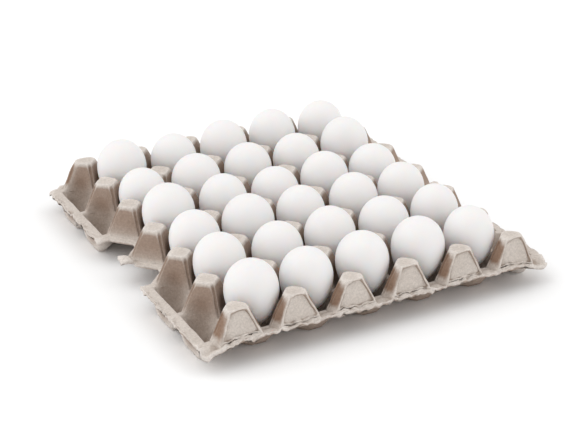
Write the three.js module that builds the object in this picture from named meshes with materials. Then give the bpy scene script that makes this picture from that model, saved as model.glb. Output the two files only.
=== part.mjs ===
// A tray of thirty hens' eggs: one moulded-pulp tray with five cups across and six cups deep, and an
// egg standing in each cup with its blunt end up. Millimetres, +Z up. The origin is on the ground
// under the middle of the tray. X runs across the five columns, Y along the six rows, front row first.
//
// The tray is one thin shell. A peg stands at every corner between four cups. A narrow strip, the
// spine, runs down each of a peg's four corners to a low saddle between two cups. The four broad
// faces between the spines slope down into the cups, which end in flat octagonal feet. Half a peg
// closes the tray at the front and back edges and half a cup at the two sides, apart from a finger
// notch in the middle of each side. A flange runs round the whole edge.

import * as THREE from "three";
import { mergeVertices } from "three/addons/utils/BufferGeometryUtils.js";

// ---- Driving dimensions of the tray ----
const pitch = 47.6; // from the middle of one cup to the next
const columns = 5;
const rows = 6;
const trayHeight = 44;
const wall = 2; // thickness of the pulp, measured upright on its flat parts
const saddleHeight = 20; // top of the low wall between two cups
const flangeReach = 8.2; // from the mouth of a side half-cup to the edge of the tray
const endReach = 12.7; // from the middle of an end half-peg to the edge of the tray
const sideDrop = 1.2; // how far the flange at the two sides falls towards its edge
const endRise = 2.4; // how far the flange at the front and back rises towards its edge
const cornerCut = 4; // chamfer on the flange's four corners
const notchRows = [2, 3]; // rows whose side half-cups are left out for the fingers
const ribLedge = 4; // flange beside the spine that runs out into a notch
const faceLedge = 5.9; // flange below a peg's broad face in a notch, measured along X or Y
const saddleLedge = 5; // flange beside the saddle at the bottom of a notch

// The same places shape the tray's upper side and, moved in by the wall, its under side.
const upperSide = {
  pegTop: trayHeight,
  pegReach: 8.5, // from a peg's axis to the end of its spine, at the top
  spineReach: 20, // the same where the spine meets the saddle
  spineHalf: 2, // half the width of a spine or a saddle
  saddle: saddleHeight,
  footRadius: 13, // to the corners of a cup's octagonal floor
  floor: wall,
  mouthCut: 0, // where a side half-cup's outer wall stands, out from the middle of the cup
  floorCut: -1.2,
  panelTopHalf: 6.8, // an end half-peg's flat face: half its width, and how far out it stands
  panelTopOut: 4.7,
  panelFootHalf: 16.6,
  panelFootOut: 10.2,
  panelFoot: 23,
};
const underSide = {
  pegTop: trayHeight - wall,
  pegReach: 7.3,
  spineReach: 18.8,
  spineHalf: 1,
  saddle: saddleHeight - wall,
  footRadius: 14.4,
  floor: 0,
  mouthCut: 2.2,
  floorCut: 1,
  panelTopHalf: 6,
  panelTopOut: 3.1,
  panelFootHalf: 16,
  panelFootOut: 8.8,
  panelFoot: 20.4,
};

// ---- Driving dimensions of the eggs ----
const eggGirth = 40.7; // width of a middling egg
const eggTop = 63; // height of its top above the ground
const eggSeat = 10.6; // height of its lowest point
const bluntShare = 0.47; // share of the length above the widest place
const seatShare = 0.35; // share of a tall egg's extra height that lifts its lowest point
const leanLeast = 0.5; // how far an egg leans, in degrees
const leanSpread = 2;
const goldenAngle = 2.4; // from one egg's lean to the next one's, so no two neighbours lean alike
const eggSides = 12;
const eggBands = 8;
// How each egg differs from the middling one, in mm: one row of eggs to a line, front row first.
const extraTop = [
  [1, -1, 1, 2, 0],
  [1, -1, 1, -1, -1],
  [-1, 2, -1, 0, -1],
  [2, 0, -4, 0, -3],
  [-4, -1, -1, -2, 4],
  [3, -1, 2, 3, 2],
];
const extraGirth = [
  [0.5, 0, 0.5, 1, -1],
  [0, -0.5, 0, 0, -2],
  [0, 1.5, -1, -0.5, -1.5],
  [2, -1, -0.5, 0, 0],
  [-1, 1, 0, 0, 1],
  [1, -1, 0.5, 0.5, 0],
];
// How far each egg stands to the right of the middle of its cup. It stands half as far to the front.
const offMiddle = [
  [0.7, -0.7, -0.1, 1.2, 0.9],
  [-1.2, 0.2, -0.8, 0.2, 0.1],
  [0.4, -0.6, -0.7, 0.3, -1.5],
  [0, 0.7, 0.9, 0.1, -0.6],
  [-1.4, -0.6, 0.1, -0.6, -0.7],
  [0.1, 0.5, 0.3, 0.7, 1.5],
];
const frontShare = 0.5;

// ---- Materials ----
const pulp = new THREE.MeshStandardMaterial({ color: 0xcbbfb4, roughness: 0.95, metalness: 0 });
const shell = new THREE.MeshStandardMaterial({ color: 0xf1efec, roughness: 0.45, metalness: 0 });

// ---- Fineness ----
const samePoint = 0.001; // two corners closer than this are one
const keyDigits = 3; // decimals that tell one corner from another

// ---- Places ----
const half = pitch / 2;
const cupX = (column) => (column - (columns - 1) / 2) * pitch;
const cupY = (row) => (row - (rows - 1) / 2) * pitch;
const pegX = (column) => cupX(column) - half;
const pegY = (row) => cupY(row) - half;
const sideCup = cupX(columns); // the middle line of the half-cups on the +X side
const flangeEdge = flangeReach + half; // from the outermost pegs to the side edge
const rimHalf = upperSide.spineHalf; // half the width of a saddle where it reaches the edge

// Quarter turns from +X name the four directions out of a cup or a peg.
const right = 0;
const back = 1;
const left = 2;
const front = 3;
const noTurn = -1;

// Gives a function that places a point by its distance out in a direction, its distance to the side
// (a quarter turn on from out) and its height.
function placer(x, y, turn) {
  const cos = Math.round(Math.cos((turn * Math.PI) / 2));
  const sin = Math.round(Math.sin((turn * Math.PI) / 2));
  return (out, side, z) => new THREE.Vector3(x + out * cos - side * sin, y + out * sin + side * cos, z);
}

// ---- The sheets that bound the shell ----

// Every face of the upper sheet looks up and every face of the lower one down, so the area of a
// face in plan tells which way round its corners have to run.
function planArea(points) {
  return points.reduce((sum, p, i) => {
    const next = points[(i + 1) % points.length];
    return sum + p.x * next.y - next.x * p.y;
  }, 0);
}

class Sheet {
  constructor(form, looksUp) {
    this.form = form;
    this.looksUp = looksUp;
    this.triangles = [];
  }

  // Adds a convex polygon as a fan of triangles about its first corner.
  addFace(...points) {
    const [first, ...rest] = points;
    const ordered = planArea(points) > 0 === this.looksUp ? points : [first, ...rest.reverse()];
    for (let i = 1; i + 1 < ordered.length; i += 1) {
      this.triangles.push([ordered[0], ordered[i], ordered[i + 1]]);
    }
  }

  // Heights of the flange's edge along the sides, and along the front and back.
  get sideEdge() {
    return this.form.saddle - sideDrop;
  }

  get endEdge() {
    return this.form.saddle + endRise;
  }
}

// A peg's top, its spines and the upper part of its broad faces. An end half-peg has a flat panel
// in the direction `outward` instead of a spine.
function addPeg(sheet, x, y, outward) {
  const { pegTop, pegReach, spineReach, spineHalf, saddle, panelTopOut, panelTopHalf } = sheet.form;
  const top = [];
  for (let turn = 0; turn < 4; turn += 1) {
    const at = placer(x, y, turn);
    if (turn === outward) {
      top.push(at(panelTopOut, -panelTopHalf, pegTop), at(panelTopOut, panelTopHalf, pegTop));
      addEndPanel(sheet, at);
      continue;
    }
    const topStart = at(pegReach, -spineHalf, pegTop);
    const topEnd = at(pegReach, spineHalf, pegTop);
    top.push(topStart, topEnd);
    sheet.addFace(topStart, topEnd, at(spineReach, spineHalf, saddle), at(spineReach, -spineHalf, saddle));
    if ((turn + 1) % 4 !== outward) {
      sheet.addFace(
        topEnd,
        at(spineHalf, pegReach, pegTop),
        at(spineHalf, spineReach, saddle),
        at(spineReach, spineHalf, saddle),
      );
    }
  }
  sheet.addFace(...top);
}

// The flat outer panel of an end half-peg, the narrow facets beside it and the flange below it.
function addEndPanel(sheet, at) {
  const { pegTop, pegReach, spineReach, spineHalf, saddle } = sheet.form;
  const { panelTopHalf, panelTopOut, panelFootHalf, panelFootOut, panelFoot } = sheet.form;
  const panel = [];
  const flange = [];
  for (const side of [-1, 1]) {
    const topCorner = at(panelTopOut, side * panelTopHalf, pegTop);
    const footCorner = at(panelFootOut, side * panelFootHalf, panelFoot);
    const edgeCorner = at(endReach, side * upperSide.panelFootHalf, sheet.endEdge);
    const spineFoot = at(spineHalf, side * spineReach, saddle);
    sheet.addFace(at(spineHalf, side * pegReach, pegTop), topCorner, footCorner, spineFoot);
    sheet.addFace(spineFoot, footCorner, edgeCorner);
    panel.push(...(side < 0 ? [topCorner, footCorner] : [footCorner, topCorner]));
    flange.push(...(side < 0 ? [footCorner, edgeCorner] : [edgeCorner, footCorner]));
  }
  sheet.addFace(...panel);
  sheet.addFace(...flange);
}

// A cup below its mouth: the floor, the walls up to the saddles and the lower part of the broad
// faces. A side half-cup ends in an upright wall in the direction `cutTurn`.
function addCup(sheet, x, y, cutTurn) {
  const { spineHalf, spineReach, saddle, footRadius, floor, mouthCut, floorCut } = sheet.form;
  const mouth = half - spineHalf; // from the middle of the cup out to a saddle
  const beside = half - spineReach; // and along the saddle to the foot of a spine
  const flat = footRadius * Math.cos(Math.PI / 8);
  const corner = footRadius * Math.sin(Math.PI / 8);
  const floorCorners = [];
  for (let turn = 0; turn < 4; turn += 1) {
    const at = placer(x, y, turn);
    const cutAhead = (turn + 1) % 4 === cutTurn;
    const cutBehind = (turn + 3) % 4 === cutTurn;
    if (turn === cutTurn) {
      const lowStart = at(floorCut, -flat, floor);
      const lowEnd = at(floorCut, flat, floor);
      floorCorners.push(lowStart, lowEnd);
      sheet.addFace(lowStart, lowEnd, at(mouthCut, mouth, saddle), at(mouthCut, -mouth, saddle));
      continue;
    }
    const start = at(mouth, cutBehind ? -mouthCut : -beside, saddle);
    const end = at(mouth, cutAhead ? mouthCut : beside, saddle);
    const lowStart = at(flat, cutBehind ? -floorCut : -corner, floor);
    const lowEnd = at(flat, cutAhead ? floorCut : corner, floor);
    sheet.addFace(start, end, lowEnd, lowStart);
    if (!cutBehind) floorCorners.push(lowStart);
    if (!cutAhead) {
      floorCorners.push(lowEnd);
      sheet.addFace(end, at(beside, mouth, saddle), at(corner, flat, floor), lowEnd);
    }
  }
  sheet.addFace(...floorCorners);
}

// The low wall between two cups, from one spine's foot to the next.
function addSaddle(sheet, at, from, to) {
  const { spineHalf, saddle } = sheet.form;
  const [start, end] = [-spineHalf, spineHalf];
  sheet.addFace(at(from, start, saddle), at(to, start, saddle), at(to, end, saddle), at(from, end, saddle));
}

// The flange between two end half-pegs, from the saddle out to the edge of the tray.
function addEndMouth(sheet, at) {
  const { spineHalf, spineReach, saddle } = sheet.form;
  const foot = upperSide.panelFootHalf;
  sheet.addFace(
    at(spineHalf, spineReach, saddle),
    at(endReach, foot, sheet.endEdge),
    at(endReach, pitch - foot, sheet.endEdge),
    at(spineHalf, pitch - spineReach, saddle),
  );
}

// The flange at a corner of the tray, beside the last end half-peg.
function addCorner(sheet, at, side) {
  const { spineHalf, spineReach, saddle, mouthCut } = sheet.form;
  const edge = sheet.sideEdge;
  sheet.addFace(
    at(spineHalf, side * spineReach, saddle),
    at(endReach, side * upperSide.panelFootHalf, sheet.endEdge),
    at(endReach, side * (flangeEdge - cornerCut), edge),
    at(endReach - cornerCut, side * flangeEdge, edge),
    at(rimHalf, side * flangeEdge, edge),
    at(spineHalf, side * (half + mouthCut), saddle),
  );
}

// A stretch of side rim, between two places along the mouth and two along the edge.
function addSideRim(sheet, at, mouthHalf, edgeHalf) {
  const { saddle, mouthCut } = sheet.form;
  sheet.addFace(
    at(mouthCut, -mouthHalf, saddle),
    at(flangeReach, -edgeHalf, sheet.sideEdge),
    at(flangeReach, edgeHalf, sheet.sideEdge),
    at(mouthCut, mouthHalf, saddle),
  );
}

// The ledge round a finger notch. It follows the feet of the broad faces of two pegs, and is placed
// from the middle of the half-cup that is left out.
function addNotch(sheet, at) {
  const { spineHalf, spineReach, saddle, mouthCut } = sheet.form;
  const edge = sheet.sideEdge;
  const ribEdge = half - rimHalf - ribLedge;
  // Along the ledge's edge, the distance out less the distance to the side is always this.
  const faceLine = upperSide.spineReach + rimHalf + faceLedge - pitch;
  const bottom = rimHalf + saddleLedge - half;
  const floorFace = [];
  for (const side of [-1, 1]) {
    const ribFoot = at(spineReach - half, side * (half - spineHalf), saddle);
    const ribInner = at(faceLine + ribEdge, side * ribEdge, edge);
    const bottomCorner = at(bottom, side * (bottom - faceLine), edge);
    const saddleFoot = at(spineHalf - half, side * (half - spineReach), saddle);
    sheet.addFace(
      at(mouthCut, side * (half - spineHalf), saddle),
      at(flangeReach, side * (half - rimHalf), edge),
      at(flangeReach, side * ribEdge, edge),
      ribInner,
      ribFoot,
    );
    sheet.addFace(ribFoot, ribInner, bottomCorner, saddleFoot);
    floorFace.push(...(side < 0 ? [saddleFoot, bottomCorner] : [bottomCorner, saddleFoot]));
  }
  sheet.addFace(...floorFace);
}

// ---- The tray ----

function addMiddle(sheet) {
  const { spineReach } = sheet.form;
  for (let column = 0; column <= columns; column += 1) {
    for (let row = 0; row <= rows; row += 1) {
      const [x, y] = [pegX(column), pegY(row)];
      const outward = { 0: front, [rows]: back }[row] ?? noTurn;
      addPeg(sheet, x, y, outward);
      if (column < columns) addSaddle(sheet, placer(x, y, right), spineReach, pitch - spineReach);
      if (row < rows) addSaddle(sheet, placer(x, y, back), spineReach, pitch - spineReach);
      if (column < columns && row < rows) addCup(sheet, cupX(column), cupY(row), noTurn);
    }
  }
  for (let column = 0; column < columns; column += 1) {
    addEndMouth(sheet, placer(pegX(column), pegY(0), front));
    addEndMouth(sheet, placer(pegX(column + 1), pegY(rows), back));
  }
}

function addEdge(sheet, turn) {
  const { spineReach, spineHalf, mouthCut } = sheet.form;
  const sign = turn === right ? 1 : -1;
  for (let row = 0; row <= rows; row += 1) {
    const atRib = placer(sign * sideCup, pegY(row), turn);
    addSaddle(sheet, atRib, spineReach - half, mouthCut);
    addSideRim(sheet, atRib, spineHalf, rimHalf);
    if (row === rows) continue;
    const atCup = placer(sign * sideCup, cupY(row), turn);
    if (notchRows.includes(row)) {
      addNotch(sheet, atCup);
    } else {
      addCup(sheet, sign * sideCup, cupY(row), turn);
      addSideRim(sheet, atCup, half - spineHalf, half - rimHalf);
    }
  }
  const outerPeg = sign * pegX(columns);
  addCorner(sheet, placer(outerPeg, pegY(0), front), sign);
  addCorner(sheet, placer(outerPeg, pegY(rows), back), -sign);
}

function traySheet(form, looksUp) {
  const sheet = new Sheet(form, looksUp);
  addMiddle(sheet);
  addEdge(sheet, right);
  addEdge(sheet, left);
  return sheet;
}

// The upright edge of the flange joins the two sheets: it hangs from every side of an upper
// triangle that no other triangle shares.
function edgeTriangles(sheet) {
  const keyOf = (p) => p.toArray().map((value) => value.toFixed(keyDigits)).join();
  const sides = sheet.triangles.flatMap((t) => t.map((p, i) => [p, t[(i + 1) % 3]]));
  const known = new Set(sides.map(([a, b]) => `${keyOf(a)} ${keyOf(b)}`));
  const open = sides.filter(([a, b]) => !known.has(`${keyOf(b)} ${keyOf(a)}`));
  const lowered = (p) => new THREE.Vector3(p.x, p.y, p.z - wall);
  return open.flatMap(([a, b]) => [
    [b, a, lowered(a)],
    [b, lowered(a), lowered(b)],
  ]);
}

function trayGeometry() {
  const upper = traySheet(upperSide, true);
  const lower = traySheet(underSide, false);
  const triangles = [...upper.triangles, ...lower.triangles, ...edgeTriangles(upper)];
  const geometry = new THREE.BufferGeometry().setFromPoints(triangles.flat());
  const merged = mergeVertices(geometry, samePoint);
  merged.computeVertexNormals();
  return merged;
}

// ---- The eggs ----

// Half the outline of an egg about its widest place, from its lowest point up.
function eggOutline(girth, length) {
  const points = [];
  for (let i = 0; i <= eggBands; i += 1) {
    const angle = Math.PI * (i / eggBands - 0.5);
    const share = angle > 0 ? bluntShare : 1 - bluntShare;
    const onAxis = i === 0 || i === eggBands;
    const across = onAxis ? 0 : (girth / 2) * Math.cos(angle);
    points.push(new THREE.Vector2(across, share * length * Math.sin(angle)));
  }
  return points;
}

function makeEgg(row, column) {
  const top = eggTop + extraTop[row][column];
  const seat = eggSeat + seatShare * extraTop[row][column];
  const girth = eggGirth + extraGirth[row][column];
  const length = top - seat;
  const geometry = new THREE.LatheGeometry(eggOutline(girth, length), eggSides).rotateX(Math.PI / 2);
  const egg = new THREE.Mesh(geometry, shell);
  egg.name = `egg_${row + 1}_${column + 1}`;
  const off = offMiddle[row][column];
  egg.position.set(cupX(column) + off, cupY(row) - frontShare * off, top - bluntShare * length);
  const turn = goldenAngle * (row * columns + column);
  const lean = THREE.MathUtils.degToRad(leanLeast + leanSpread * Math.abs(Math.sin(turn * turn)));
  egg.rotation.set(lean * Math.cos(turn), lean * Math.sin(turn), 0);
  return egg;
}

const tray = new THREE.Mesh(trayGeometry(), pulp);
tray.name = "tray";

const eggTray = new THREE.Group();
eggTray.add(tray);
for (let row = 0; row < rows; row += 1) {
  for (let column = 0; column < columns; column += 1) eggTray.add(makeEgg(row, column));
}

export default eggTray;
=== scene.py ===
# A moulded-pulp egg tray, five cups across and six deep, with a white hens' egg in each cup.
# Metres, +Z up, in the row's frame: X across the columns, Y along the rows, front row first.

import math

import bmesh
import bpy
from mathutils import Euler, Matrix, Vector, noise


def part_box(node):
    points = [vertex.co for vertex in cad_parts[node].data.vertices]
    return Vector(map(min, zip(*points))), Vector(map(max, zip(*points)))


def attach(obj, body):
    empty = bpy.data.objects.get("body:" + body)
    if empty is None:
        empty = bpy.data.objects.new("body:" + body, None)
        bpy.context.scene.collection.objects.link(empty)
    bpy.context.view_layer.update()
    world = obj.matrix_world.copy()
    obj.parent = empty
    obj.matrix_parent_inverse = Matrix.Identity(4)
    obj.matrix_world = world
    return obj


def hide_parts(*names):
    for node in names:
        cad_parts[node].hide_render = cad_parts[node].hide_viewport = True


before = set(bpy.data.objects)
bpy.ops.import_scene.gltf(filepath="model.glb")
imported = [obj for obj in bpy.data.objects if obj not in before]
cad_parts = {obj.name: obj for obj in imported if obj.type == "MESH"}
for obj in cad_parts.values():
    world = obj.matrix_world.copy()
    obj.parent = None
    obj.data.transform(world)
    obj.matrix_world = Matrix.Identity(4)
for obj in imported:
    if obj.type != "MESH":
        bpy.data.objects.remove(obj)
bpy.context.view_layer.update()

MM = 0.001

# All sizes and places below are in mm, and all angles in degrees, unless a comment says otherwise.

# ---- Camera, floor and light ----
LENS = 100.2
SENSOR_WIDTH = 36
CAMERA_PLACE = (-563.2, -1043.7, 613.1)
CAMERA_TARGET = (-7.9, -20.2, 34)
CAMERA_ROLL = 0.23
FLOOR_SIZE = 8  # in metres
FLOOR_GAP = 0.1  # between the floor and the tray's feet
ROOM_STRENGTH = 0.64
SOFTBOX_SPREAD = 70  # how wide a part of the sky each softbox fills
SOFTBOXES = (  # name, which way it lies, strength
    ("overhead", (0.1, 0.05, 1.0), 0.42),
    ("right_softbox", (0.85, -0.5, 0.5), 0.7),
    ("left_softbox", (-0.8, 0.35, 0.8), 1.05),
)

# ---- The tray's sizes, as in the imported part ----
PITCH = 47.6  # from the middle of one cup to the next
COLUMNS = 5
ROWS = 6
HALF_WIDTH = PITCH * (COLUMNS + 1) / 2  # to where the half-cups at the two sides are cut off
HALF_DEPTH = PITCH * ROWS / 2  # to the middle line of the half-pegs at the front and back
TRAY_HEIGHT = 44
WALL = 2  # thickness of the pulp
NOTCH_ROWS = (2, 3)  # rows with a finger notch instead of a half-cup at each side

# ---- Telling the tray's faces apart ----
SAME_POINT = 0.01  # two corners closer than this are one
FLAT_ANGLE = 1  # faces that differ by less lie in one plane
FACING_LEAST = 0.02  # least size of a normal's z on a face that looks up or down
LEVEL_LEAST = 0.999  # the same for a face that lies level
LEVEL_REACH = 3  # how far below a peg's top, or above the ground, a level face may lie
PANEL_FROM = 148  # how far out the end panels begin
PANEL_FOOT = 26  # height of the end panels' lower edges
PANEL_LEAST = 300  # smallest area of an end panel, in square mm
SPINE_HEIGHTS = (26, 38)  # between which the middle of a spine's face lies
SPINE_LEAST = 90  # smallest area of a spine's face, in square mm
TORN_FROM = (146.5, 151.5)  # how far out, in X and in Y, the torn outer edge begins

# ---- What the mould presses into the plain faces: width and drop of each step inwards ----
BAND = 0.8  # width of the flat band inside the edges of each face
SPINE_STEPS = ((0.7, -0.4), (0.8, 0.8))
PANEL_STEPS = ((0.4, -0.3), (0.8, 0), (0.4, 1.3))

# ---- How close the tray's points lie ----
HALVINGS = 4  # times that long edges are halved
UPPER_SPACING = 5.1  # longest distance between two points of the upper side
RIM_SPACING = 3  # the same along the torn outer edge
UNDER_SPACING = 9  # the same for the under side
SOFTENING = 0.3  # share of the way that each point moves to the middle of its neighbours
SHARP_ANGLE = 38  # edges sharper than this stay crisp

# ---- The round bowl that each egg sits in ----
BOWL_RADIUS = 22.6  # at its rim
BOWL_RIM = 32  # height of that rim
BOWL_DEPTH = 35  # below its rim, if it went on to a point
BOWL_BLEND = 0.35  # how softly it meets the flat faces
BOWL_UNDER = 0.9 * WALL  # how far the under side of the pulp lies outside it
LARGEST_POWER = 30  # of e, before the blend overflows
# From here on, a fade is where something starts and the width over which it grows to the full.
BOWL_OVER_FLOOR = (0.4, 1.5)
BOWL_FROM_SIDE = (3, 2)
BOWL_FROM_END = (0.5, 3)

# ---- How unevenly the pulp dried: pairs of the width and the height of its waves ----
NOISE_SEED = 1  # any whole number but 0, which would draw other waves each run
SHEET_WAVES = ((11, 0.35), (3.7, 0.16))
FLANGE_WAVES = ((23, 1.1), (5, 1.2))
TORN_LUMPS = ((4.3, 1.6), (17, 1))
LUMP_HANG = 2.2  # how far a lump a millimetre high hangs from the under side
FRAYED_WAVES = ((3.1, 1.1), (1.9, 0.5))
WORN_WAVES = ((9, 1), (2.9, 1.4))
WORN_MEAN = 0.7  # how much of the outer edge is worn away on average
FLANGE_FADE = (0, 9)  # outwards from the pegs
FRAYED_FADE = (0, 4)  # outwards from where the fraying starts
FRAYED_FROM = (3, 7)  # that is, past the pegs at the sides and at the ends
WORN_SIDE_FADE = (0, 6)  # outwards
WORN_END_FADE = (5, 6)  # outwards
CORNER_DROOP = 3.4  # how far the four corners of the flange hang down
DROOP_SIDE_FADE = (-24, 17)  # outwards
DROOP_END_FADE = (3, 5)  # outwards
DROOP_FADE_DOWN = (6, 14)  # down from a peg's top
RIB_CURL = 3.2  # how far the tip of a rib between two finger notches curls up
RIB_PULL = 2.2  # how far that draws it in
RIB_HALF = 11  # half the width over which it is curled
RIB_FADE_IN = (0, 5)  # from there to its middle
RIB_FADE_OUT = (-6, 8)  # outwards, to its tip

# ---- Painted shade: how brown the pulp is painted where shade falls, on a scale from 0 to 1 ----
FACE_BROWN = 0.8  # high on the walls of a cup
PUSH_FOR_FULL = 8  # how deep a bowl would be pressed to add 1
FLOOR_PALER = 0.8  # share of the painted shade that fades out towards a cup's floor
PALER_FROM = 34  # height where that starts
PALER_FADE = (0, 22)  # down from there
BROWN_BELOW_TOP = (1.6, 2)  # down from a peg's top
BROWN_FROM_EDGE = (0.5, 5)  # inwards from the outer pegs
BROWN_OVER_LEDGE = (21, 3)  # upwards, at the ledge round a finger notch
END_SIDE_BROWN = 0.4  # added on the narrow sides of the end half-pegs
END_SIDE_PAST_PANEL = (-0.3, 1)  # sideways from the panel's edge
END_SIDE_UP = (23, 3)  # upwards
END_SIDE_OUT = (-4, 3)  # outwards
# painted shade on the whole under side, which faces the shaded floor
UNDER_BROWN = 0.65
PANEL_TOP_HALF = 6.8  # half the width of an end panel at its top
PANEL_SPREAD = 0.47  # how much wider it gets at each side for every mm down

# ---- Painted highlights on ridges and painted shade in creases ----
RIDGE_SPREAD = 2  # how many times their marks are spread to their neighbours
RIDGE_GAIN = 2.2
HIGHLIGHT_HIDDEN = 0.4  # share of the painted highlight that a face with full painted shade hides
HIGHLIGHT_UP = (24, 6)  # upwards, between the eggs, where the low walls get no painted highlight
BETWEEN_EGGS = (PITCH * COLUMNS / 2 + 2, HALF_DEPTH - 2)  # how far out, in X and in Y, that goes

# ---- The eggs ----
EGG_SEGMENTS = 48
EGG_RINGS = 32
BLUNT_SHARE = 0.47  # share of an egg's length above its widest place
EGG_TAPER = 0.13  # how much narrower an egg gets towards its lower end
EGG_FIT = 0.995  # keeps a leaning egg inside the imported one's box
GOLDEN_ANGLE = 2.4  # from one egg's lean to the next one's, in radians
LEAN_LEAST = 0.5
LEAN_SPREAD = 2

# ---- How wide the features of each pattern are ----
STAIN_SIZE = 14
FLECK_SIZE = 1.6
LUMP_SIZE = 3
LUMP_HEIGHT = 0.8
SHELL_CLOUD_SIZE = 9
PORE_SIZE = 0.8
PORE_DEPTH = 0.1


def column_x(column):
    return (column - (COLUMNS - 1) / 2) * PITCH


def row_y(row):
    return (row - (ROWS - 1) / 2) * PITCH


# ---- Small helpers ----
def colour(hex_text):
    """A colour from its sRGB hex value, as the linear values that a shader takes."""
    parts = [int(hex_text[i : i + 2], 16) / 255 for i in (0, 2, 4)]
    return [c / 12.92 if c <= 0.04045 else ((c + 0.055) / 1.055) ** 2.4 for c in parts] + [1.0]


def node(tree, kind, links=None, **settings):
    """Adds a shader node, sets its properties and its sockets, and links what feeds it."""
    made = tree.nodes.new(kind)
    for name, value in settings.items():
        setattr(made, name, value)
    for socket, value in (links or {}).items():
        if isinstance(value, bpy.types.NodeSocket):
            tree.links.new(value, made.inputs[socket])
        else:
            made.inputs[socket].default_value = value
    return made


def only(piece):
    """Leaves just this piece selected and active."""
    for other in bpy.context.selected_objects:
        other.select_set(False)
    bpy.context.view_layer.objects.active = piece
    piece.select_set(True)


def rise(value, fade):
    """0 up to a fade's start, 1 from its width past that on, and a smooth rise between the two."""
    start, width = fade
    share = min(max((value - start) / width, 0), 1)
    return share * share * (3 - 2 * share)


def waves(place, sizes):
    """Smooth random ups and downs at a place, from pairs of a width and a height."""
    return sum(height * noise.noise(place / width) for width, height in sizes)


# ---- Camera, floor and light ----
def make_camera():
    data = bpy.data.cameras.new("camera")
    data.sensor_width = SENSOR_WIDTH
    data.lens = LENS
    camera = bpy.data.objects.new("camera", data)
    bpy.context.scene.collection.objects.link(camera)
    place = Vector(CAMERA_PLACE) * MM
    target = Vector(CAMERA_TARGET) * MM
    turn = (target - place).to_track_quat("-Z", "Y").to_matrix().to_4x4()
    roll = Matrix.Rotation(math.radians(CAMERA_ROLL), 4, "Z")
    camera.matrix_world = Matrix.Translation(place) @ turn @ roll
    bpy.context.scene.camera = camera


def make_floor():
    bpy.ops.object.select_all(action="DESELECT")
    bpy.ops.mesh.primitive_plane_add(size=FLOOR_SIZE, location=(0, 0, -FLOOR_GAP * MM))
    floor = bpy.context.active_object
    floor.name = "floor"
    # Matt white paper: it takes the soft shadow of the tray and mirrors nothing.
    paper, _, shader = new_finish("white_paper_backdrop", 0.9, 0.1)
    shader.inputs["Base Color"].default_value = colour("ffffff")
    floor.data.materials.append(paper)


def add_softbox(name, towards, strength):
    """Soft light from one side of the sky, even all over the floor."""
    data = bpy.data.lights.new(name, "SUN")
    data.angle = math.radians(SOFTBOX_SPREAD)
    data.energy = strength
    lamp = bpy.data.objects.new(name, data)
    bpy.context.scene.collection.objects.link(lamp)
    lamp.rotation_euler = (-Vector(towards)).to_track_quat("-Z", "Y").to_euler()


def make_light():
    world = bpy.data.worlds.new("white_room")
    world.use_nodes = True
    room = world.node_tree.nodes["Background"]
    room.inputs["Color"].default_value = (1, 1, 1, 1)
    room.inputs["Strength"].default_value = ROOM_STRENGTH
    bpy.context.scene.world = world
    bpy.context.scene.view_settings.view_transform = "Standard"
    for name, towards, strength in SOFTBOXES:
        add_softbox(name, towards, strength)


# ---- Edit-mode helpers ----
def pick(piece, mode, wanted):
    """In edit mode, leaves selected only the faces or edges for which wanted() holds."""
    bpy.ops.mesh.select_mode(type=mode)
    bpy.ops.mesh.select_all(action="DESELECT")
    shape = bmesh.from_edit_mesh(piece.data)
    elements = shape.faces if mode == "FACE" else shape.edges
    for element in [each for each in elements if wanted(each)]:
        element.select_set(True)
    bmesh.update_edit_mesh(piece.data)


def inset(width, drop=0):
    """Insets each selected face on its own by a width, and sinks it by a drop, both in mm."""
    bpy.ops.mesh.inset(thickness=width * MM, depth=-drop * MM, use_individual=True)


def halve_edges(piece, wanted, length):
    """Halves the wanted edges, a few times over, where they are longer than a length in mm."""
    for _ in range(HALVINGS):
        pick(piece, "EDGE", lambda e: e.calc_length() > length * MM and wanted(e))
        bpy.ops.mesh.subdivide(number_cuts=1)
        bpy.ops.mesh.select_all(action="SELECT")
        bpy.ops.mesh.quads_convert_to_tris(quad_method="SHORTEST_DIAGONAL", ngon_method="BEAUTY")


def larger_than(face, square_mm):
    return face.calc_area() > square_mm * MM * MM


# ---- The tray ----
def from_peg(point):
    """A point's place from the axis of the nearest peg, in mm."""
    across = (point.x / MM + PITCH * COLUMNS / 2) % PITCH
    along = (point.y / MM + PITCH * ROWS / 2) % PITCH
    return min(across, PITCH - across), min(along, PITCH - along)


def looks_up(face):
    return face.normal.z > FACING_LEAST


def looks_down(face):
    return face.normal.z < -FACING_LEAST


def on_end_panel(face):
    middle = face.calc_center_median() / MM
    return abs(middle.y) > PANEL_FROM and middle.z > PANEL_FOOT


def on_spine(face):
    middle = face.calc_center_median()
    low, high = SPINE_HEIGHTS
    return min(from_peg(middle)) < 1 and low < middle.z / MM < high and not on_end_panel(face)


def level_face(face):
    height = face.calc_center_median().z / MM
    near_top_or_ground = height > TRAY_HEIGHT - LEVEL_REACH or height < LEVEL_REACH
    return abs(face.normal.z) > LEVEL_LEAST and near_top_or_ground


def above_or_at_rim(edge):
    return any(not looks_down(face) for face in edge.link_faces)


def on_torn_edge(edge):
    middle = (edge.verts[0].co + edge.verts[1].co) / 2 / MM
    return abs(middle.x) > TORN_FROM[0] or abs(middle.y) > TORN_FROM[1]


def banded(face):
    """Whether a face of the upper side gets just a flat band inside its edges."""
    return looks_up(face) and len(face.verts) > 3 and not on_spine(face) and not on_end_panel(face)


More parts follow.
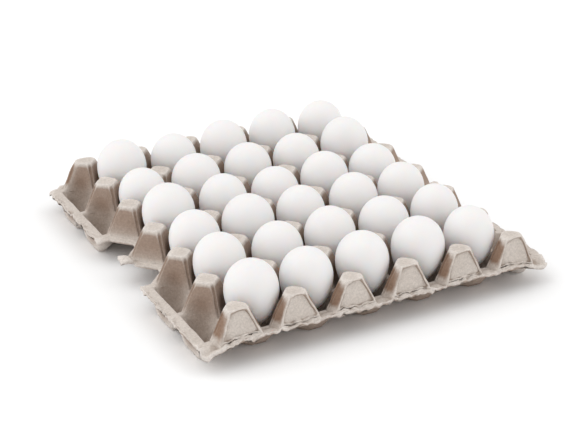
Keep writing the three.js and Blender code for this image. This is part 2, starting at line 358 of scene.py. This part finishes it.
def tray_shell():
    """The tray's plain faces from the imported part, with the bands, grooves and sunk panels of the
    moulding cut into the upper side and enough points to bend."""
    tray = bpy.data.objects.new("pulp_tray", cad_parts["tray"].data.copy())
    bpy.context.scene.collection.objects.link(tray)
    flat = math.radians(FLAT_ANGLE)
    only(tray)
    bpy.ops.object.mode_set(mode="EDIT")
    bpy.ops.mesh.select_all(action="SELECT")
    bpy.ops.mesh.remove_doubles(threshold=SAME_POINT * MM)
    bpy.ops.mesh.tris_convert_to_quads(face_threshold=flat, shape_threshold=math.pi)
    pick(tray, "FACE", level_face)
    bpy.ops.mesh.dissolve_limited(angle_limit=flat)
    # A narrow band round each face keeps it flat, so that only its edges turn soft.
    pick(tray, "FACE", banded)
    inset(BAND)
    # A groove runs down each spine between its two raised edges.
    pick(tray, "FACE", lambda f: looks_up(f) and on_spine(f) and larger_than(f, SPINE_LEAST))
    for width, drop in SPINE_STEPS:
        inset(width, drop)
    # The end pegs' panels are sunk inside a raised border.
    pick(tray, "FACE", lambda f: looks_up(f) and on_end_panel(f) and larger_than(f, PANEL_LEAST))
    for width, drop in PANEL_STEPS:
        inset(width, drop)
    inset(BAND)
    bpy.ops.mesh.select_all(action="SELECT")
    bpy.ops.mesh.quads_convert_to_tris(quad_method="BEAUTY", ngon_method="BEAUTY")
    halve_edges(tray, above_or_at_rim, UPPER_SPACING)
    halve_edges(tray, lambda e: on_torn_edge(e) and above_or_at_rim(e), RIM_SPACING)
    halve_edges(tray, lambda e: True, UNDER_SPACING)
    bpy.ops.mesh.select_all(action="SELECT")
    bpy.ops.mesh.vertices_smooth(factor=SOFTENING, repeat=1)
    bpy.ops.object.mode_set(mode="OBJECT")
    return tray


def slopes_of(piece):
    """How far each point faces up, from 1 for straight up to -1 for straight down. A mesh's own
    normals differ in the last digit from run to run, which matters on upright walls."""
    shape = bmesh.new()
    shape.from_mesh(piece.data)
    shape.normal_update()
    slopes = [vertex.normal.z for vertex in shape.verts]
    shape.free()
    return slopes


def cup_middles():
    """The column and row of every cup, and of every half-cup at the two sides."""
    for row in range(ROWS):
        for column in range(-1, COLUMNS + 1):
            if 0 <= column < COLUMNS or row not in NOTCH_ROWS:
                yield column, row


def round_the_cups(tray):
    """Presses the bowl that an egg sits in into the flat walls of every cup, and says how far each
    point was moved. The bowls fade out at a cup's floor and towards the tray's edges."""
    cups = set(cup_middles())
    pressed = [0.0] * len(tray.data.vertices)
    for vertex, slope in zip(tray.data.vertices, slopes_of(tray)):
        place = vertex.co / MM
        column = round(place.x / PITCH + (COLUMNS - 1) / 2)
        row = round(place.y / PITCH + (ROWS - 1) / 2)
        if (column, row) not in cups:
            continue
        away = place.xy - Vector((column_x(column), row_y(row)))
        under = BOWL_UNDER if slope < 0 else 0
        depth = max(BOWL_RIM - place.z, 0) / (BOWL_DEPTH + under)
        radius = under + BOWL_RADIUS * math.sqrt(max(1 - depth * depth, 0))
        floor = WALL if slope > 0 else 0
        share = rise(place.z - floor, BOWL_OVER_FLOOR)
        share *= rise(HALF_WIDTH - abs(place.x), BOWL_FROM_SIDE)
        share *= rise(HALF_DEPTH - abs(place.y), BOWL_FROM_END)
        power = min((radius - away.length) / BOWL_BLEND, LARGEST_POWER)
        push = BOWL_BLEND * math.log1p(math.exp(power)) * share
        vertex.co.xy += away.normalized() * push * MM
        pressed[vertex.index] = push
    return pressed


def make_uneven(tray):
    """Pulp dries a little wavy: the whole sheet a little, and the flange round the edge more, with
    torn lumps that hang from its lower edge."""
    noise.seed_set(NOISE_SEED)
    for vertex, slope in zip(tray.data.vertices, slopes_of(tray)):
        place = vertex.co / MM
        level = Vector((place.x, place.y, 0))
        beyond_side = abs(place.x) - HALF_WIDTH
        beyond_end = abs(place.y) - HALF_DEPTH
        shift = Vector()
        for width, height in SHEET_WAVES:
            shift += noise.noise_vector(place / width) * height
        flange = rise(max(beyond_side, beyond_end), FLANGE_FADE)
        shift.z += flange * waves(level, FLANGE_WAVES)
        if slope < 0:
            shift.z -= LUMP_HANG * flange * max(waves(level, TORN_LUMPS), 0)
        # The four corners of the flange droop.
        corner = rise(beyond_side, DROOP_SIDE_FADE) * rise(beyond_end, DROOP_END_FADE)
        shift.z -= CORNER_DROOP * corner * rise(TRAY_HEIGHT - place.z, DROOP_FADE_DOWN)
        # The ribs that run out into the finger notches end in short tips that curl up.
        rib = rise(beyond_side, RIB_FADE_OUT) * rise(RIB_HALF - abs(place.y), RIB_FADE_IN)
        shift.z += RIB_CURL * rib
        shift.x -= math.copysign(RIB_PULL * rib, place.x)
        # The outer edge itself is frayed: it runs in and out, and up and down.
        outwards = max(beyond_side - FRAYED_FROM[0], beyond_end - FRAYED_FROM[1])
        shift.z += rise(outwards, FRAYED_FADE) * waves(level, FRAYED_WAVES)
        worn = max(flange * (WORN_MEAN + waves(level, WORN_WAVES)), 0)
        shift.x -= math.copysign(worn * rise(beyond_side, WORN_SIDE_FADE), place.x)
        shift.y -= math.copysign(worn * rise(beyond_end, WORN_END_FADE), place.y)
        vertex.co += shift * MM


def keep_inside(piece, box):
    """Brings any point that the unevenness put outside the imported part's box back to it."""
    low, high = box
    for vertex in piece.data.vertices:
        for axis in range(3):
            vertex.co[axis] = min(max(vertex.co[axis], low[axis]), high[axis])


def mark_painted_shade(tray, pressed):
    """Writes how much painted shade each point gets, as brown, from 0 on a peg's top, an end panel
    or the flange to 1 on the walls of a cup, most of all in the upper part of its bowls."""
    painted_shades = []
    for vertex, push, slope in zip(tray.data.vertices, pressed, slopes_of(tray)):
        place = vertex.co / MM
        below_top = rise(TRAY_HEIGHT - place.z, BROWN_BELOW_TOP)
        near_floor = rise(PALER_FROM - place.z, PALER_FADE)
        within = rise(HALF_WIDTH - abs(place.x), BROWN_FROM_EDGE)
        if abs(place.x) > HALF_WIDTH - PITCH / 2 and abs(place.y) < PITCH:
            within *= rise(place.z, BROWN_OVER_LEDGE)  # the ledge round a finger notch gets no painted shade
        # Painted shade: the end half-pegs are painted brown on the narrow sides of their panels,
        # which the eggs shade.
        panel_half = PANEL_TOP_HALF + (TRAY_HEIGHT - place.z) * PANEL_SPREAD
        end_side = rise(from_peg(vertex.co)[0] - panel_half, END_SIDE_PAST_PANEL)
        end_side *= rise(place.z, END_SIDE_UP)
        end_side *= rise(abs(place.y) - HALF_DEPTH, END_SIDE_OUT)
        within *= max(rise(HALF_DEPTH - abs(place.y), BROWN_FROM_EDGE), end_side)
        wall = (1 - FLOOR_PALER * near_floor) * (FACE_BROWN + push / PUSH_FOR_FULL)
        brown = below_top * within * (wall + END_SIDE_BROWN * end_side)
        # The under side gets a fixed amount of painted shade.
        painted_shades.append(UNDER_BROWN if slope < 0 else min(brown, 1))
    tray.data.attributes.new("painted_shade", "FLOAT", "POINT").data.foreach_set("value", painted_shades)
    return painted_shades


def mark_ridges(tray, painted_shades):
    """Writes how far each point stands proud of its neighbours, from 0 in a crease to 1 on a ridge,
    and spreads it a little; the shader paints a highlight on ridges and shade in creases from it.
    The highlight is left off the low walls between the eggs and partly hidden on painted-shade
    faces."""
    shape = bmesh.new()
    shape.from_mesh(tray.data)
    shape.normal_update()
    neighbours = [[edge.other_vert(vertex) for edge in vertex.link_edges] for vertex in shape.verts]
    proud = [
        sum((vertex.co - other.co).normalized().dot(vertex.normal) for other in near) / len(near)
        for vertex, near in zip(shape.verts, neighbours)
    ]
    for _ in range(RIDGE_SPREAD):
        proud = [
            (proud[index] + sum(proud[other.index] for other in near)) / (len(near) + 1)
            for index, near in enumerate(neighbours)
        ]
    shape.free()
    for index, vertex in enumerate(tray.data.vertices):
        place = vertex.co / MM
        between = abs(place.x) < BETWEEN_EGGS[0] and abs(place.y) < BETWEEN_EGGS[1]
        highlight_share = rise(place.z, HIGHLIGHT_UP) if between else 1
        if proud[index] > 0:
            proud[index] *= highlight_share * (1 - HIGHLIGHT_HIDDEN * painted_shades[index])
    marks = tray.data.attributes.new("ridge", "FLOAT", "POINT")
    marks.data.foreach_set("value", [min(max(0.5 + bend * RIDGE_GAIN, 0), 1) for bend in proud])


def make_tray():
    tray = tray_shell()
    pressed = round_the_cups(tray)
    painted_shades = mark_painted_shade(tray, pressed)
    make_uneven(tray)
    keep_inside(tray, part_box("tray"))
    mark_ridges(tray, painted_shades)
    only(tray)
    bpy.ops.object.shade_smooth_by_angle(angle=math.radians(SHARP_ANGLE))
    tray.data.materials.clear()
    tray.data.materials.append(moulded_pulp())
    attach(tray, "root")
    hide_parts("tray")


# ---- The eggs ----
def model_egg():
    """One egg of unit half-width and unit length, blunt end up, drawn in towards its lower end."""
    bpy.ops.object.select_all(action="DESELECT")
    bpy.ops.mesh.primitive_uv_sphere_add(segments=EGG_SEGMENTS, ring_count=EGG_RINGS, radius=1)
    egg = bpy.context.active_object
    longer = (1 - BLUNT_SHARE) / BLUNT_SHARE
    bpy.ops.object.mode_set(mode="EDIT")
    pick(egg, "FACE", lambda f: f.calc_center_median().z < 0)
    bpy.ops.transform.resize(value=(1, 1, longer), center_override=(0, 0, 0))
    bpy.ops.mesh.select_all(action="SELECT")
    bpy.ops.transform.resize(value=(1, 1, BLUNT_SHARE), center_override=(0, 0, 0))
    bpy.ops.object.mode_set(mode="OBJECT")
    taper = egg.modifiers.new("taper", "SIMPLE_DEFORM")
    taper.deform_method = "TAPER"
    taper.deform_axis = "Z"
    taper.factor = EGG_TAPER
    bpy.ops.object.modifier_apply(modifier=taper.name)
    for face in egg.data.polygons:
        face.use_smooth = True
    return egg


def lay_egg(pattern, row, column, shell):
    """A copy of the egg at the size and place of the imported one, leaning a little its own way."""
    name = f"egg_{row + 1}_{column + 1}"
    low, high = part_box(name)
    size = high - low
    across = max(size.x, size.y) * EGG_FIT
    turn = GOLDEN_ANGLE * (row * COLUMNS + column)
    lean = math.radians(LEAN_LEAST + LEAN_SPREAD * abs(math.sin(turn * turn)))
    egg = bpy.data.objects.new(f"shell_{row + 1}_{column + 1}", pattern.data.copy())
    bpy.context.scene.collection.objects.link(egg)
    centred = Matrix.Translation((0, 0, 0.5 - BLUNT_SHARE))
    scaled = Matrix.Diagonal((across / 2, across / 2, size.z * EGG_FIT, 1))
    leant = Euler((lean * math.cos(turn), lean * math.sin(turn), 0)).to_matrix().to_4x4()
    egg.data.transform(Matrix.Translation((low + high) / 2) @ leant @ scaled @ centred)
    egg.data.materials.append(shell)
    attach(egg, "root")
    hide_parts(name)


# ---- Materials ----
def new_finish(name, roughness, specular):
    finish = bpy.data.materials.new(name)
    finish.use_nodes = True
    shader = finish.node_tree.nodes["Principled BSDF"]
    shader.inputs["Roughness"].default_value = roughness
    shader.inputs["Specular IOR Level"].default_value = specular
    return finish, finish.node_tree, shader


def per_mm(size):
    """The scale of a pattern on Object coordinates whose features are so many mm wide."""
    return 1 / (size * MM)


def moulded_pulp():
    """Recycled paper pulp sucked onto a wire mould and dried: matt and greyish beige, with soft
    lumps where fibres gathered, short pale and dark fibres all over, and no shine."""
    finish, tree, shader = new_finish("moulded_pulp", 0.95, 0.15)
    place = node(tree, "ShaderNodeTexCoord").outputs["Object"]
    cloudy = node(
        tree, "ShaderNodeTexNoise",
        {"Vector": place, "Scale": per_mm(STAIN_SIZE), "Detail": 3.0},
    )
    stained = node(
        tree, "ShaderNodeMix",
        {0: cloudy.outputs["Fac"], 6: colour("c8bdb3"), 7: colour("d9d0c8")},
        data_type="RGBA",
    )
    # Painted shade: the walls of the cups, the narrow sides of the end half-pegs and the under side
    # are painted brown.
    painted_shade = node(tree, "ShaderNodeAttribute", attribute_name="painted_shade")
    browned = node(
        tree, "ShaderNodeMix",
        {0: painted_shade.outputs["Fac"], 6: stained.outputs[2], 7: colour("937967")},
        data_type="RGBA",
    )
    # Painted highlight and painted shade: ridges are painted pale and creases dark.
    ridge = node(tree, "ShaderNodeAttribute", attribute_name="ridge")
    proud = node(
        tree, "ShaderNodeMapRange",
        {
            "Value": ridge.outputs["Fac"],
            "From Min": 0.52, "From Max": 0.72, "To Min": 0.0, "To Max": 0.85,
        },
    )
    highlighted = node(
        tree, "ShaderNodeMix",
        {0: proud.outputs["Result"], 6: browned.outputs[2], 7: colour("e2dad3")},
        data_type="RGBA",
    )
    sunk = node(
        tree, "ShaderNodeMapRange",
        {
            "Value": ridge.outputs["Fac"],
            "From Min": 0.47, "From Max": 0.3, "To Min": 0.0, "To Max": 0.65,
        },
    )
    crease_shaded = node(
        tree, "ShaderNodeMix",
        {0: sunk.outputs["Result"], 6: highlighted.outputs[2], 7: colour("846e5d")},
        data_type="RGBA",
    )
    # Single fibres are finer than can show, so the flecks are small tangles of them.
    speckle = node(
        tree, "ShaderNodeTexNoise",
        {"Vector": place, "Scale": per_mm(FLECK_SIZE), "Detail": 4.0, "Roughness": 0.7},
    )
    spread = node(
        tree, "ShaderNodeMapRange",
        {
            "Value": speckle.outputs["Fac"],
            "From Min": 0.35, "From Max": 0.65, "To Min": 0.86, "To Max": 1.08,
        },
    )
    flecked = node(
        tree, "ShaderNodeVectorMath",
        {0: crease_shaded.outputs[2], "Scale": spread.outputs["Result"]},
        operation="SCALE",
    )
    tree.links.new(flecked.outputs["Vector"], shader.inputs["Base Color"])
    lumps = node(
        tree, "ShaderNodeTexNoise",
        {"Vector": place, "Scale": per_mm(LUMP_SIZE), "Detail": 5.0, "Roughness": 0.65},
    )
    bump = node(
        tree, "ShaderNodeBump",
        {"Height": lumps.outputs["Fac"], "Strength": 0.8, "Distance": LUMP_HEIGHT * MM},
    )
    tree.links.new(bump.outputs["Normal"], shader.inputs["Normal"])
    return finish


def eggshell():
    """The shell of a white hen's egg, washed: nearly matt, with a faint broad sheen, fine pores
    that break it up, and the slightest warm and cool clouds in the white."""
    finish, tree, shader = new_finish("white_eggshell", 0.5, 0.3)
    shader.inputs["Subsurface Weight"].default_value = 0.7
    shader.inputs["Subsurface Radius"].default_value = (1.0, 0.75, 0.6)
    shader.inputs["Subsurface Scale"].default_value = 14 * MM
    place = node(tree, "ShaderNodeTexCoord").outputs["Object"]
    clouds = node(
        tree, "ShaderNodeTexNoise",
        {"Vector": place, "Scale": per_mm(SHELL_CLOUD_SIZE), "Detail": 2.0},
    )
    white = node(
        tree, "ShaderNodeMix",
        {0: clouds.outputs["Fac"], 6: colour("ede9e7"), 7: colour("eaebec")},
        data_type="RGBA",
    )
    tree.links.new(white.outputs[2], shader.inputs["Base Color"])
    # Real pores are finer than can show, so these are drawn about five times as wide.
    pores = node(
        tree, "ShaderNodeTexNoise",
        {"Vector": place, "Scale": per_mm(PORE_SIZE), "Detail": 2.0},
    )
    bump = node(
        tree, "ShaderNodeBump",
        {"Height": pores.outputs["Fac"], "Strength": 0.15, "Distance": PORE_DEPTH * MM},
    )
    tree.links.new(bump.outputs["Normal"], shader.inputs["Normal"])
    return finish


make_camera()
make_floor()
make_light()
make_tray()
shell = eggshell()
pattern = model_egg()
for row in range(ROWS):
    for column in range(COLUMNS):
        lay_egg(pattern, row, column, shell)
bpy.data.objects.remove(pattern)
